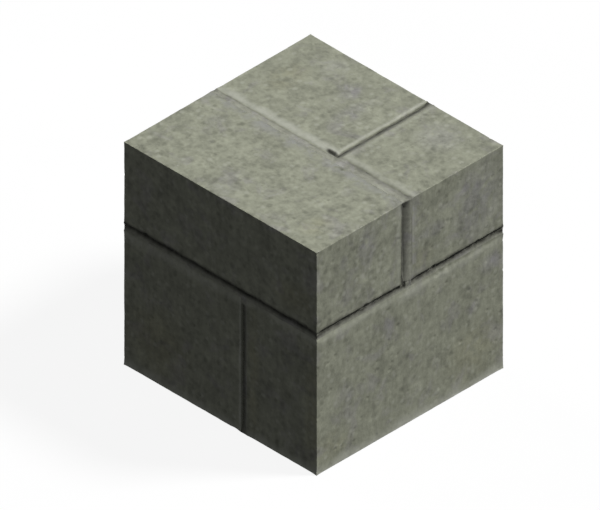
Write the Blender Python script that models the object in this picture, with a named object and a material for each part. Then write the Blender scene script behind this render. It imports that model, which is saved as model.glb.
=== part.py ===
"""Column base block: five squared masonry blocks in two bonded courses, set in struck mortar.

Metres, +Z up. The origin is the centre of the underside. The side with one long block over
two faces -Y, and the side with two blocks over one long block faces +X.
"""

import math

import bmesh
import bpy
from mathutils import Vector, noise

# Plan of the whole base
BASE_LENGTH = 0.3048
BASE_DEPTH = 0.2953

# Courses, from the ground up
LOWER_COURSE = 0.1840
BED_JOINT = 0.0095
UPPER_COURSE = 0.1113

# Top course: a stretcher in front and two blocks behind it, the left one a little further forward
STRETCHER_DEPTH = 0.1376
COLLAR_JOINT = 0.0135
UPPER_LEFT_LENGTH = 0.1849
UPPER_LEFT_ADVANCE = 0.0052
UPPER_JOINT = 0.0095

# Bottom course: a wide block on the left and a stretcher on the right
LOWER_LEFT_LENGTH = 0.1849
LOWER_JOINT = 0.0095

# Every block stays this far clear of the mortar around it
SEAT_GAP = 0.0003

# Struck mortar: its depth against one arris, and the width of the slope that runs out to the other
BED_STRIKE = 0.0044
BED_SLOPE = 0.0086
UPRIGHT_STRIKE = 0.0040
UPRIGHT_SLOPE = 0.0088
TOP_STRIKE = 0.0038
TOP_SLOPE = 0.0080
COLLAR_STRIKE = 0.0042
COLLAR_SLOPE_LOW = 0.0076
COLLAR_SLOPE_HIGH = 0.0122
COLLAR_TOP_STRIKE = 0.0017
COLLAR_TOP_SLOPE = 0.0060

# The left and back sides are struck more lightly
BACK_SIDES_STRIKE = 0.0032

# Mortar smeared over the arris of the left back block leaves hardly any strike
SMEARED_STRIKE = 0.0010
SMEARED_SLOPE = 0.0022

# Where the strike lifts out of the mortar, this far above it, and leaves it flush
LIFTED = -0.0006

# Lengths of the stretches where a strike starts or stops short
UPRIGHT_FILL = 0.0070
CROSSING_OPEN = 0.0018
CROSSING_DROP = 0.0018
FLUSH_PATCH = 0.0085
SMEAR_END = 0.0310
SMEAR_FADE = 0.0145
POCKET_DROP = 0.0030
STRIKE_FADE = 0.0030

# Shape of a struck face: a narrow foot beside the arris, then the slope, a little uneven
STRIKE_FOOT = 0.0012
STRIKE_STEP = 0.016
STRIKE_UNEVEN = 0.16
STRIKE_DIP = 0.75

# How far the cutters run past the mortar that they shape
CUTTER_OVER = 0.004
CUTTER_SIDE = 0.002
CUTTER_RIM = 0.0001

# Wear of an arris inside the wall, and of one that shows: how far the second kind reaches over
# the first of its faces, and over the second
SEATED = 0.0006
EASED = (0.0009, 0.0009)
BED_LIP = (0.0016, 0.0018)
SHOULDER = (0.0016, 0.0085)
UPRIGHT_WORN = (0.0024, 0.0022)
COLLAR_ARRIS = (0.0042, 0.0026)
TOP_WORN = (0.0028, 0.0022)
SMEAR_WORN = (0.0115, 0.0014)
COLLAR_WORN = (0.0060, 0.0018)

# How closely the points follow a worn arris, and how uneven its wear is
WEAR_STEP = 0.011
WEAR_GRAIN = 0.017
WEAR_UNEVEN = 0.38
POINT_ROOM = 0.0015

# A piece lost from an arris is deepest at its middle: the power of its curve, and where it gets points
LOST_CURVE = 1.6
LOST_POINTS = (-1, -0.6, 0, 0.6, 1)

# Where the middle of a rounded arris and the tip of a rounded corner lie, as shares of the wear
ROUND_SHARE = 1 - math.cos(math.radians(45))
TIP_SHARE = 1 - 1 / math.sqrt(3)

# Levels and faces that the sizes above give
BED_TOP = LOWER_COURSE + BED_JOINT
TOP = BED_TOP + UPPER_COURSE
LEFT = -BASE_LENGTH / 2
RIGHT = BASE_LENGTH / 2
FRONT = -BASE_DEPTH / 2
BACK = BASE_DEPTH / 2
STRETCHER_BACK = FRONT + STRETCHER_DEPTH
BACK_RIGHT_FRONT = STRETCHER_BACK + COLLAR_JOINT
BACK_LEFT_FRONT = BACK_RIGHT_FRONT - UPPER_LEFT_ADVANCE
UPPER_LEFT_END = LEFT + UPPER_LEFT_LENGTH
UPPER_RIGHT_START = UPPER_LEFT_END + UPPER_JOINT
LOWER_LEFT_END = LEFT + LOWER_LEFT_LENGTH
LOWER_RIGHT_START = LOWER_LEFT_END + LOWER_JOINT

X = Vector((1, 0, 0))
Y = Vector((0, 1, 0))
Z = Vector((0, 0, 1))


def stone(name, colour, roughness):
    material = bpy.data.materials.new(name)
    material.use_nodes = True
    shader = material.node_tree.nodes["Principled BSDF"]
    shader.inputs["Base Color"].default_value = (*colour, 1)
    shader.inputs["Roughness"].default_value = roughness
    shader.inputs["Metallic"].default_value = 0
    return material


def add_object(name, bm, material=None):
    mesh = bpy.data.meshes.new(name)
    bmesh.ops.recalc_face_normals(bm, faces=bm.faces)
    bm.to_mesh(mesh)
    bm.free()
    if material:
        mesh.materials.append(material)
    obj = bpy.data.objects.new(name, mesh)
    bpy.context.scene.collection.objects.link(obj)
    return obj


def pair_of(face, other):
    return frozenset((face, other))


class Arris:
    """Wear along the arris of two faces, such as "+z" and "-y", with the pieces lost from it.

    A lost piece is its place as a share of the arris, its half length, and how far it reaches
    over the first face and over the second.
    """

    def __init__(self, faces, wear, lost, low, high, seed):
        self.wear = dict(zip(faces, wear))
        self.length = high - low
        self.seed = seed
        self.lost = [
            (low + share * self.length, half, dict(zip(faces, (over_first, over_second))))
            for share, half, over_first, over_second in lost
        ]

    def reach(self, face, along):
        """How far the arris is worn back over one of its faces, at a place along it."""
        spot = Vector((along / WEAR_GRAIN, self.seed, 0))
        worn = self.wear[face] * (1 + WEAR_UNEVEN * noise.noise(spot))
        for middle, half, over in self.lost:
            away = abs(along - middle) / half
            worn += over[face] * max(0, 1 - away ** LOST_CURVE)
        return worn

    def stations(self, first, last):
        """The places that get a point of their own, between the two corners."""
        count = max(1, round(self.length / WEAR_STEP))
        marks = [first + (last - first) * i / count for i in range(1, count)]
        for middle, half, _ in self.lost:
            marks += [middle + half * share for share in LOST_POINTS]
        kept = [first]
        for mark in sorted(marks):
            if mark - kept[-1] > POINT_ROOM and mark < last - POINT_ROOM:
                kept.append(mark)
        return kept[1:]


class SeatedArris:
    """An arris inside the wall, which nothing has worn."""

    def reach(self, face, along):
        return SEATED

    def stations(self, first, last):
        return []


class WornBlock:
    """A squared block, each arris rounded by two strips of faces and each corner by three."""

    def __init__(self, low, high, wear, lost, seed):
        self.planes = {"-" + n: low[i] for i, n in enumerate("xyz")}
        self.planes.update({"+" + n: high[i] for i, n in enumerate("xyz")})
        self.bm = bmesh.new()
        self.arrises = {}
        for number, faces in enumerate(wear):
            along = next(i for i, n in enumerate("xyz") if n not in faces[0] + faces[1])
            self.arrises[pair_of(*faces)] = Arris(
                faces, wear[faces], lost.get(faces, ()), low[along], high[along], seed + number / 3
            )

    def arris(self, face, other):
        return self.arrises.get(pair_of(face, other)) or SeatedArris()

    def inset(self, face, other, along):
        """Where a face stops short of its neighbour's plane, as a coordinate."""
        inward = 1 if other[0] == "-" else -1
        return self.planes[other] + inward * self.arris(face, other).reach(face, along)

    def vertex(self, places):
        return self.bm.verts.new([places[n] for n in "xyz"])

    def rounded(self, face, other, along_name, on_face, on_other):
        """The point between a face's edge point and its neighbour's, on the round of the arris."""
        places = {along_name: (on_face[along_name] + on_other[along_name]) / 2}
        for name, plane, reached in (
            (face[1], self.planes[face], on_other[face[1]]),
            (other[1], self.planes[other], on_face[other[1]]),
        ):
            places[name] = plane + ROUND_SHARE * (reached - plane)
        return places

    def corner(self, faces):
        """One corner: a point on each face, one on each arris and the tip, joined by three faces."""
        on_face = {}
        for face in faces:
            places = {face[1]: self.planes[face]}
            for other in faces:
                if other != face:
                    third = next(f for f in faces if f not in (face, other))
                    places[other[1]] = self.inset(face, other, self.planes[third])
            on_face[face] = places
        tip = {}
        for face in faces:
            reached = [on_face[f][face[1]] for f in faces if f != face]
            tip[face[1]] = self.planes[face] + TIP_SHARE * (sum(reached) / 2 - self.planes[face])
        tip_vertex = self.vertex(tip)
        vertices = {face: self.vertex(places) for face, places in on_face.items()}
        for third in faces:
            face, other = [f for f in faces if f != third]
            middle = self.rounded(face, other, third[1], on_face[face], on_face[other])
            vertices[pair_of(face, other)] = self.vertex(middle)
        for face in faces:
            a, b = [pair_of(face, f) for f in faces if f != face]
            self.bm.faces.new([vertices[face], vertices[a], tip_vertex, vertices[b]])
        return vertices, on_face

    def strips(self, face, other, name, corners):
        """The two strips of one arris. It returns the row of points on each face."""
        low, low_places = corners[frozenset((face, other, "-" + name))]
        high, high_places = corners[frozenset((face, other, "+" + name))]
        first = max(low_places[face][name], low_places[other][name])
        last = min(high_places[face][name], high_places[other][name])
        middle_key = pair_of(face, other)
        rows = {key: [low[key]] for key in (face, other, middle_key)}
        for along in self.arris(face, other).stations(first, last):
            on_face = {
                face[1]: self.planes[face],
                other[1]: self.inset(face, other, along),
                name: along,
            }
            on_other = {
                other[1]: self.planes[other],
                face[1]: self.inset(other, face, along),
                name: along,
            }
            rows[face].append(self.vertex(on_face))
            rows[other].append(self.vertex(on_other))
            rows[middle_key].append(self.vertex(self.rounded(face, other, name, on_face, on_other)))
        for key in rows:
            rows[key].append(high[key])
        middle = rows[middle_key]
        for row in (rows[face], rows[other]):
            for i in range(len(row) - 1):
                self.bm.faces.new([row[i], row[i + 1], middle[i + 1], middle[i]])
        return rows

    def build(self):
        corners = {}
        for faces in [(x, y, z) for x in ("-x", "+x") for y in ("-y", "+y") for z in ("-z", "+z")]:
            corners[frozenset(faces)] = self.corner(faces)
        rows = {}
        for name in "xyz":
            a, b = [n for n in "xyz" if n != name]
            for face, other in [(s + a, t + b) for s in "-+" for t in "-+"]:
                rows[pair_of(face, other)] = self.strips(face, other, name, corners)
        for face in self.planes:
            u, v = [n for n in "xyz" if n != face[1]]
            ring = list(rows[pair_of(face, "-" + v)][face])
            ring += rows[pair_of(face, "+" + u)][face][1:]
            ring += rows[pair_of(face, "+" + v)][face][-2::-1]
            ring += rows[pair_of(face, "-" + u)][face][-2:0:-1]
            self.bm.faces.new(ring)
        return self.bm


def prism(outline, bottom, top):
    """An upright prism over a plan outline."""
    bm = bmesh.new()
    base = bm.faces.new([bm.verts.new((x, y, bottom)) for x, y in outline])
    raised = bmesh.ops.extrude_face_region(bm, geom=[base])
    moved = [e for e in raised["geom"] if isinstance(e, bmesh.types.BMVert)]
    bmesh.ops.translate(bm, verts=moved, vec=Z * (top - bottom))
    return bm


def rectangle(left, right, front, back):
    return [(left, front), (right, front), (right, back), (left, back)]


def combine(target, helper, operation):
    helper.hide_render = True
    helper.display_type = "WIRE"
    modifier = target.modifiers.new(helper.name, "BOOLEAN")
    modifier.operation = operation
    modifier.solver = "EXACT"
    modifier.object = helper


def between(profile, place, item):
    """One value of a profile at a place, by straight lines from point to point."""
    for before, after in zip(profile, profile[1:]):
        if place <= after[0]:
            share = (place - before[0]) / (after[0] - before[0])
            return before[item] + share * (after[item] - before[item])
    return profile[-1][item]


def strike(mortar, name, along, across, outward, arris, face, profile, seed):
    """Cuts one struck joint, deepest against one arris and sloping out to the other.

    along, across and outward are unit vectors, across leading away from the struck arris.
    arris and face are where that arris and the blocks' face lie. Each point of the profile is
    a place along the joint, the depth of the strike there and the width of its slope.
    """
    start, stop = profile[0][0], profile[-1][0]
    count = max(1, round((stop - start) / STRIKE_STEP))
    places = {start + (stop - start) * i / count for i in range(count + 1)}
    places |= {point[0] for point in profile}
    bm = bmesh.new()
    rings = []
    for place in sorted(places):
        depth = between(profile, place, 1)
        depth += abs(depth) * STRIKE_UNEVEN * noise.noise(Vector((place / WEAR_GRAIN, seed, 0)))
        width = between(profile, place, 2)
        rim = max(0, -depth) + CUTTER_RIM
        section = (
            (-CUTTER_SIDE, CUTTER_OVER),
            (-CUTTER_SIDE, -depth),
            (STRIKE_FOOT, -depth),
            (width, rim),
            (width + CUTTER_SIDE, CUTTER_OVER),
        )
        origin = along * place + across * arris + outward * face
        rings.append([bm.verts.new(origin + across * a + outward * o) for a, o in section])
    for one, two in zip(rings, rings[1:]):
        for i in range(len(one)):
            j = (i + 1) % len(one)
            bm.faces.new([one[i], one[j], two[j], two[i]])
    bm.faces.new(rings[0])
    bm.faces.new(rings[-1])
    bmesh.ops.triangulate(bm, faces=bm.faces)
    combine(mortar, add_object(name, bm), "DIFFERENCE")


def front_stretcher():
    wear = {
        ("+z", "-y"): EASED,
        ("+z", "-x"): EASED,
        ("+z", "+x"): EASED,
        ("+z", "+y"): EASED,
        ("-y", "-x"): EASED,
        ("-y", "+x"): EASED,
        ("-x", "+y"): EASED,
        ("+x", "+y"): COLLAR_ARRIS,
        ("-y", "-z"): BED_LIP,
        ("+x", "-z"): BED_LIP,
        ("-x", "-z"): BED_LIP,
    }
    lost = {
        ("-y", "-z"): [(0.114, 0.0045, 0.0030, 0.0030), (0.71, 0.0035, 0.0016, 0.0020)],
        ("+x", "-z"): [(0.565, 0.0040, 0.0024, 0.0026)],
        ("+z", "-y"): [(0.83, 0.0050, 0.0014, 0.0012)],
    }
    low, high = (LEFT, FRONT, BED_TOP), (RIGHT, STRETCHER_BACK, TOP)
    bm = WornBlock(low, high, wear, lost, 11.5).build()
    add_object("front_stretcher", bm, stone("stretcher_stone", (0.32, 0.33, 0.26), 0.85))


def back_left_block():
    wear = {
        ("+z", "-y"): SMEAR_WORN,
        ("+z", "+x"): TOP_WORN,
        ("+z", "-x"): EASED,
        ("+z", "+y"): EASED,
        ("-x", "+y"): EASED,
        ("+y", "+x"): EASED,
        ("-x", "-y"): UPRIGHT_WORN,
        ("-x", "-z"): BED_LIP,
        ("+y", "-z"): BED_LIP,
    }
    lost = {
        ("+z", "-y"): [(0.955, 0.0092, 0.0045, 0.0062)],
        ("-x", "-z"): [(0.34, 0.0050, 0.0026, 0.0024)],
        ("+y", "-z"): [(0.62, 0.0045, 0.0022, 0.0024)],
    }
    low, high = (LEFT, BACK_LEFT_FRONT, BED_TOP), (UPPER_LEFT_END, BACK, TOP)
    bm = WornBlock(low, high, wear, lost, 23.5).build()
    add_object("back_left_block", bm, stone("back_left_stone", (0.33, 0.34, 0.26), 0.85))


def back_right_block():
    wear = {
        ("+z", "-y"): COLLAR_WORN,
        ("+z", "-x"): EASED,
        ("+z", "+x"): EASED,
        ("+z", "+y"): EASED,
        ("+x", "+y"): EASED,
        ("+x", "-y"): EASED,
        ("+y", "-x"): UPRIGHT_WORN,
        ("+x", "-z"): BED_LIP,
        ("+y", "-z"): BED_LIP,
    }
    lost = {
        ("+x", "-z"): [(0.235, 0.0042, 0.0028, 0.0026), (0.71, 0.0036, 0.0018, 0.0020)],
    }
    low, high = (UPPER_RIGHT_START, BACK_RIGHT_FRONT, BED_TOP), (RIGHT, BACK, TOP)
    bm = WornBlock(low, high, wear, lost, 37.5).build()
    add_object("back_right_block", bm, stone("back_right_stone", (0.32, 0.32, 0.27), 0.85))


def lower_left_block():
    wear = {
        ("+z", "-y"): SHOULDER,
        ("+z", "-x"): SHOULDER,
        ("+z", "+y"): SHOULDER,
        ("-y", "-x"): EASED,
        ("-x", "+y"): EASED,
        ("-y", "+x"): UPRIGHT_WORN,
        ("+y", "+x"): EASED,
        ("-y", "-z"): EASED,
        ("-x", "-z"): EASED,
        ("+y", "-z"): EASED,
    }
    lost = {
        ("+z", "-y"): [(0.37, 0.0135, 0.0010, 0.0022)],
        ("-y", "-z"): [(0.955, 0.0085, 0.0028, 0.0030)],
        ("-x", "-z"): [(0.28, 0.0060, 0.0018, 0.0022)],
    }
    low, high = (LEFT, FRONT, 0), (LOWER_LEFT_END, BACK, LOWER_COURSE)
    bm = WornBlock(low, high, wear, lost, 41.5).build()
    add_object("lower_left_block", bm, stone("lower_left_stone", (0.31, 0.32, 0.25), 0.85))


def lower_right_stretcher():
    wear = {
        ("+z", "+x"): SHOULDER,
        ("+z", "-y"): SHOULDER,
        ("+z", "+y"): SHOULDER,
        ("-y", "+x"): EASED,
        ("+x", "+y"): EASED,
        ("-y", "-x"): EASED,
        ("+y", "-x"): UPRIGHT_WORN,
        ("-y", "-z"): EASED,
        ("+x", "-z"): EASED,
        ("+y", "-z"): EASED,
    }
    lost = {
        ("+z", "+x"): [(0.658, 0.0045, 0.0012, 0.0026), (0.705, 0.0060, 0.0010, 0.0020)],
    }
    low, high = (LOWER_RIGHT_START, FRONT, 0), (RIGHT, BACK, LOWER_COURSE)
    bm = WornBlock(low, high, wear, lost, 59.5).build()
    add_object("lower_right_stretcher", bm, stone("lower_right_stone", (0.33, 0.34, 0.27), 0.85))


def mortar():
    """The bed, the T of joints in the top course and the upright joint below, as one cured piece."""
    bed_middle = LOWER_COURSE + BED_JOINT / 2
    bed = prism(rectangle(LEFT, RIGHT, FRONT, BACK), LOWER_COURSE + SEAT_GAP, BED_TOP - SEAT_GAP)
    body = add_object("mortar", bed, stone("mortar", (0.36, 0.35, 0.33), 0.9))

    front, back_left, back_right = STRETCHER_BACK, BACK_LEFT_FRONT, BACK_RIGHT_FRONT
    upper_left, upper_right = UPPER_LEFT_END + SEAT_GAP, UPPER_RIGHT_START - SEAT_GAP
    tee = [
        (LEFT, front + SEAT_GAP),
        (RIGHT, front + SEAT_GAP),
        (RIGHT, back_right - SEAT_GAP),
        (upper_right, back_right - SEAT_GAP),
        (upper_right, BACK),
        (upper_left, BACK),
        (upper_left, back_left - SEAT_GAP),
        (LEFT, back_left - SEAT_GAP),
    ]
    combine(body, add_object("top_course_mortar", prism(tee, bed_middle, TOP)), "UNION")
    lower_plan = rectangle(LOWER_LEFT_END + SEAT_GAP, LOWER_RIGHT_START - SEAT_GAP, FRONT, BACK)
    combine(body, add_object("bottom_course_mortar", prism(lower_plan, 0, bed_middle)), "UNION")

    strike_beds(body)
    strike_uprights(body)
    strike_top(body)


def strike_beds(body):
    """The bed joint is struck back under the upper blocks, and filled where an upright meets it."""
    over_left, over_right = LEFT - CUTTER_OVER, RIGHT + CUTTER_OVER
    over_front, over_back = FRONT - CUTTER_OVER, BACK + CUTTER_OVER
    front_bed = [
        (over_left, BED_STRIKE, BED_SLOPE),
        (-BASE_LENGTH / 10, BED_STRIKE, BED_SLOPE),
        (-BASE_LENGTH / 20, BED_STRIKE * STRIKE_DIP, BED_SLOPE),
        (0, BED_STRIKE, BED_SLOPE),
        (over_right, BED_STRIKE, BED_SLOPE),
    ]
    strike(body, "front_bed_strike", X, -Z, -Y, -BED_TOP, -FRONT, front_bed, 3.5)

    right_fill = (STRETCHER_BACK + CROSSING_OPEN, BACK_RIGHT_FRONT)
    left_fill = (STRETCHER_BACK, BACK_LEFT_FRONT - CROSSING_OPEN)
    back_fill = (UPPER_LEFT_END, UPPER_RIGHT_START - CROSSING_OPEN)
    sides = (
        ("right", Y, X, RIGHT, over_front, over_back, right_fill, BED_STRIKE),
        ("left", Y, -X, -LEFT, over_front, over_back, left_fill, BACK_SIDES_STRIKE),
        ("back", X, Y, BACK, over_left, over_right, back_fill, BACK_SIDES_STRIKE),
    )
    for number, (side, along, outward, face, start, stop, fill, depth) in enumerate(sides):
        crossed = [
            (start, depth, BED_SLOPE),
            (fill[0] - STRIKE_FADE / 2, depth, BED_SLOPE),
            (fill[0] + STRIKE_FADE / 2, LIFTED, BED_SLOPE),
            (fill[1] - STRIKE_FADE / 2, LIFTED, BED_SLOPE),
            (fill[1] + STRIKE_FADE / 2, depth, BED_SLOPE),
            (stop, depth, BED_SLOPE),
        ]
        strike(body, side + "_bed_strike", along, -Z, outward, -BED_TOP, face, crossed, 5.5 + number)


def strike_uprights(body):
    """The upright joints are struck back on the left of each, as one looks at that side."""
    foot = BED_TOP - CROSSING_DROP
    crest = TOP + CUTTER_OVER
    collar = [(foot, COLLAR_STRIKE, COLLAR_SLOPE_LOW), (crest, COLLAR_STRIKE, COLLAR_SLOPE_HIGH)]
    strike(body, "right_collar_strike", Z, Y, X, STRETCHER_BACK, RIGHT, collar, 13.5)
    upper = [(foot, BACK_SIDES_STRIKE, UPRIGHT_SLOPE), (crest, BACK_SIDES_STRIKE, UPRIGHT_SLOPE)]
    strike(body, "left_collar_strike", Z, -Y, -X, -BACK_LEFT_FRONT, -LEFT, upper, 14.5)
    strike(body, "back_upper_strike", Z, -X, Y, -UPPER_RIGHT_START, BACK, upper, 15.5)

    lower_stop = LOWER_COURSE - UPRIGHT_FILL
    for side, across, outward, arris, face, depth, seed in (
        ("front", X, -Y, LOWER_LEFT_END, -FRONT, UPRIGHT_STRIKE, 16.5),
        ("back", -X, Y, -LOWER_RIGHT_START, BACK, BACK_SIDES_STRIKE, 17.5),
    ):
        lower = [
            (-CUTTER_OVER, depth, UPRIGHT_SLOPE),
            (lower_stop - STRIKE_FADE, depth, UPRIGHT_SLOPE),
            (lower_stop, LIFTED, UPRIGHT_SLOPE),
        ]
        strike(body, side + "_lower_strike", Z, across, outward, arris, face, lower, seed)


def strike_top(body):
    """On top, the strike follows the two back blocks, and is smeared over along the left one."""
    top_joint = [
        (BACK_RIGHT_FRONT - POCKET_DROP, TOP_STRIKE, TOP_SLOPE),
        (BACK + CUTTER_OVER, TOP_STRIKE, TOP_SLOPE),
    ]
    strike(body, "top_joint_strike", Y, X, Z, UPPER_LEFT_END, TOP, top_joint, 21.5)
    collar_start = UPPER_RIGHT_START + FLUSH_PATCH
    collar_right = [
        (collar_start - STRIKE_FADE, LIFTED, COLLAR_TOP_SLOPE),
        (collar_start, COLLAR_TOP_STRIKE, COLLAR_TOP_SLOPE),
        (RIGHT + CUTTER_OVER, COLLAR_TOP_STRIKE, COLLAR_TOP_SLOPE),
    ]
    strike(body, "top_collar_strike", X, -Y, Z, -BACK_RIGHT_FRONT, TOP, collar_right, 22.5)
    smear_stop = UPPER_LEFT_END - SMEAR_END
    collar_left = [
        (LEFT - CUTTER_OVER, SMEARED_STRIKE, SMEARED_SLOPE),
        (smear_stop, SMEARED_STRIKE, SMEARED_SLOPE),
        (smear_stop + SMEAR_FADE, LIFTED, SMEARED_SLOPE),
    ]
    strike(body, "top_smear_strike", X, -Y, Z, -BACK_LEFT_FRONT, TOP, collar_left, 23.5)


def main():
    for obj in list(bpy.data.objects):
        bpy.data.objects.remove(obj, do_unlink=True)
    front_stretcher()
    back_left_block()
    back_right_block()
    lower_left_block()
    lower_right_stretcher()
    mortar()


main()
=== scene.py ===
import math

import bpy
import numpy as np
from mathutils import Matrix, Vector, noise


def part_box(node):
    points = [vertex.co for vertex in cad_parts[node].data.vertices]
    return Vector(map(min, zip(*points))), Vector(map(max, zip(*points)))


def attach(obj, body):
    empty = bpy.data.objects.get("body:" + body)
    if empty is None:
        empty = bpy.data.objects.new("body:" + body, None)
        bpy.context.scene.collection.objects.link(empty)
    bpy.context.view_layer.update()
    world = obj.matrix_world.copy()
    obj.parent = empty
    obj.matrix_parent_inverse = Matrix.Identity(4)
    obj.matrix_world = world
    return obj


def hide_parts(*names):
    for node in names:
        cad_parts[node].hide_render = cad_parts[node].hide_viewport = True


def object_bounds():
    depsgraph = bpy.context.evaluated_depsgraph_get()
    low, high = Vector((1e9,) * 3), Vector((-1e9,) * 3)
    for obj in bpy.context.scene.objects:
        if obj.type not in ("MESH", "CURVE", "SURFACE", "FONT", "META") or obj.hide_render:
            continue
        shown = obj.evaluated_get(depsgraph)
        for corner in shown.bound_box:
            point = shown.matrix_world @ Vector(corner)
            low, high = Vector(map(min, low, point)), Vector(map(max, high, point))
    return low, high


# Column base block: five worn masonry blocks in two courses, with struck mortar between them.
# Metres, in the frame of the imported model. Each block is skinned again on a fine lattice, which
# carries its worn arrises, lost pieces, pits and the slight swell of its dressed faces.

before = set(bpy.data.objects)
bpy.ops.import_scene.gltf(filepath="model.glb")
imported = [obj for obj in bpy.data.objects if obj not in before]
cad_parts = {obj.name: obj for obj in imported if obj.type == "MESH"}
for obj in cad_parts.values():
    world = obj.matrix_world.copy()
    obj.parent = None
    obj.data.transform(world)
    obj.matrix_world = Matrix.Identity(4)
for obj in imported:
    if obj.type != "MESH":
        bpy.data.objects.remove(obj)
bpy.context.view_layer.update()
baseLow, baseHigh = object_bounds()
print("frame loaded:", len(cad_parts), "nodes")

# Spacing of the stone skins, and the closer rows beside an arris
latticeStep = 0.0014
arrisRows = (0.0, 0.0005, 0.0011, 0.0018, 0.0027, 0.0038)

# Rows of the strip that edges a side lying inside the wall
hiddenRows = 11

# Wear of an arris: how far it reaches over the first of its faces, and over the second
eased = (0.0009, 0.0009)
bedLip = (0.0016, 0.0018)
shoulder = (0.0016, 0.0085)
uprightWorn = (0.0018, 0.0020)
jointWorn = (0.0003, 0.0008)
collarArris = (0.0042, 0.0026)
topWorn = (0.0024, 0.0022)
smearWorn = (0.0115, 0.0013)
collarWorn = (0.0060, 0.0016)
flushed = (0.0001, 0.0001)

# Unevenness of the wear along an arris, how it eases off at a corner and beside an inner face, and
# how a lost piece deepens towards its middle
wearShape = {
    "grain": 0.017,
    "uneven": 0.38,
    "ripple": 0.14,
    "rippleGrain": 0.0042,
    "corner": 0.0090,
    "cornerShare": 0.12,
    "innerCurve": 1.7,
    "lostCurve": 1.6,
}

# Relief of a dressed face: a slow swell, a fine grain, and pits of two sizes, calmer by a joint
reliefShape = {
    "calm": 0.0028,
    "swell": 0.00022,
    "swellSize": 0.034,
    "grain": 0.00009,
    "grainSize": 0.0046,
    "smallestPit": 0.6,
    "pits": (
        {"spacing": 0.0105, "radius": 0.0030, "depth": 0.0007, "share": 0.55},
        {"spacing": 0.0052, "radius": 0.0015, "depth": 0.0004, "share": 0.40},
    ),
}

# Strips of colour along an arris: how they wander in place, width and strength, and how they fade
# at the ends of their span. Tint firmness is how firm a broad patch is at its outline
bandShape = {
    "grain": 0.021,
    "shift": 0.35,
    "widen": 0.4,
    "strengthen": 0.5,
    "endFade": 0.06,
}
tintFirmness = 1.5

allFaces = ("-x", "+x", "-y", "+y", "-z", "+z")
masks = ("pale", "smear", "grimeAndShade", "pit", "lilac", "khaki")
nearZero = 1e-6


def axisOf(face):
    return "xyz".index(face[1])


def facePatch(face, low, high):
    # a whole face of a box: its axis, its level, its two spans and which way it looks
    axis = axisOf(face)
    u, v = (axis + 1) % 3, (axis + 2) % 3
    level = high[axis] if face[0] == "+" else low[axis]
    return axis, level, (low[u], high[u]), (low[v], high[v]), 1 if face[0] == "+" else -1


def evenRows(start, stop, step):
    return np.linspace(start, stop, max(1, round((stop - start) / step)) + 1)


def blockRows(low, high):
    # lattice rows across a block, closer together beside its two arrises
    near = np.array(arrisRows)
    middle = evenRows(low + near[-1], high - near[-1], latticeStep)
    return np.unique(np.concatenate([low + near, middle, high - near]).round(7))


def patchIds(rows, patch):
    # lattice numbers of every point of a patch, as a grid
    axis, level, uSpan, vSpan = patch[:4]
    u, v = (axis + 1) % 3, (axis + 2) % 3
    place = [None] * 3
    place[axis] = np.array(np.abs(rows[axis] - level).argmin())
    for n, span in ((u, uSpan), (v, vSpan)):
        first, last = [np.abs(rows[n] - end).argmin() for end in span]
        place[n] = np.arange(first, last + 1)
    place[u] = place[u][:, None]
    place[v] = place[v][None, :]
    return np.ravel_multi_index(tuple(np.broadcast_arrays(*place)), [len(r) for r in rows])


def hiddenFaces(ids, kept):
    # a side inside the wall: a strip along its worn border, then one flat face with straight sides
    last = np.array(ids.shape) - 1
    border = [(i, 0) for i in range(last[0])] + [(last[0], j) for j in range(last[1])]
    border += [(i, last[1]) for i in range(last[0], 0, -1)] + [(0, j) for j in range(last[1], 0, -1)]
    border = [spot for spot in border if ids[spot] in kept]
    inset = np.minimum(hiddenRows, last // 3)
    inner = [ids[tuple(np.clip(spot, inset, last - inset))] for spot in border]
    outer = [ids[spot] for spot in border]
    strip = zip(outer, outer[1:] + outer[:1], inner[1:] + inner[:1], inner)
    return [list(dict.fromkeys(face)) for face in (*strip, inner)]


def latticeSkin(rows, shownPatches, plainPatches):
    # one closed skin: small quads where a patch shows, wide flat faces where it lies in the wall
    quads = []
    for patch in shownPatches:
        ids = patchIds(rows, patch)
        cells = np.stack([ids[:-1, :-1], ids[1:, :-1], ids[1:, 1:], ids[:-1, 1:]], -1).reshape(-1, 4)
        quads.append(cells if patch[4] > 0 else cells[:, ::-1])
    quads = np.concatenate(quads)
    kept = set(np.unique(quads))
    for patch in plainPatches:
        kept.update(patchIds(rows, patch)[[0, 0, -1, -1], [0, -1, 0, -1]])
    hidden = []
    for patch in plainPatches:
        faces = hiddenFaces(patchIds(rows, patch), kept)
        hidden.extend(face[::patch[4]] for face in faces)
    used = np.array(sorted(kept.union(*hidden)))
    places = np.stack(np.unravel_index(used, [len(r) for r in rows]), 1)
    points = np.stack([rows[a][places[:, a]] for a in range(3)], 1)
    hidden = [np.searchsorted(used, face).tolist() for face in hidden]
    return points, places, np.searchsorted(used, quads), hidden


def skinNormals(points, quads):
    a, b, c, d = [points[quads[:, n]] for n in range(4)]
    facing = np.cross(c - a, d - b)
    normals = np.zeros_like(points)
    for n in range(4):
        np.add.at(normals, quads[:, n], facing)
    return normals / np.maximum(np.linalg.norm(normals, axis=1, keepdims=True), 1e-12)


def noiseAlong(places, grain, seed, layer):
    # smooth noise at each place along a line
    return np.array([noise.noise(Vector((place / grain, seed, layer))) for place in places])


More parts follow.
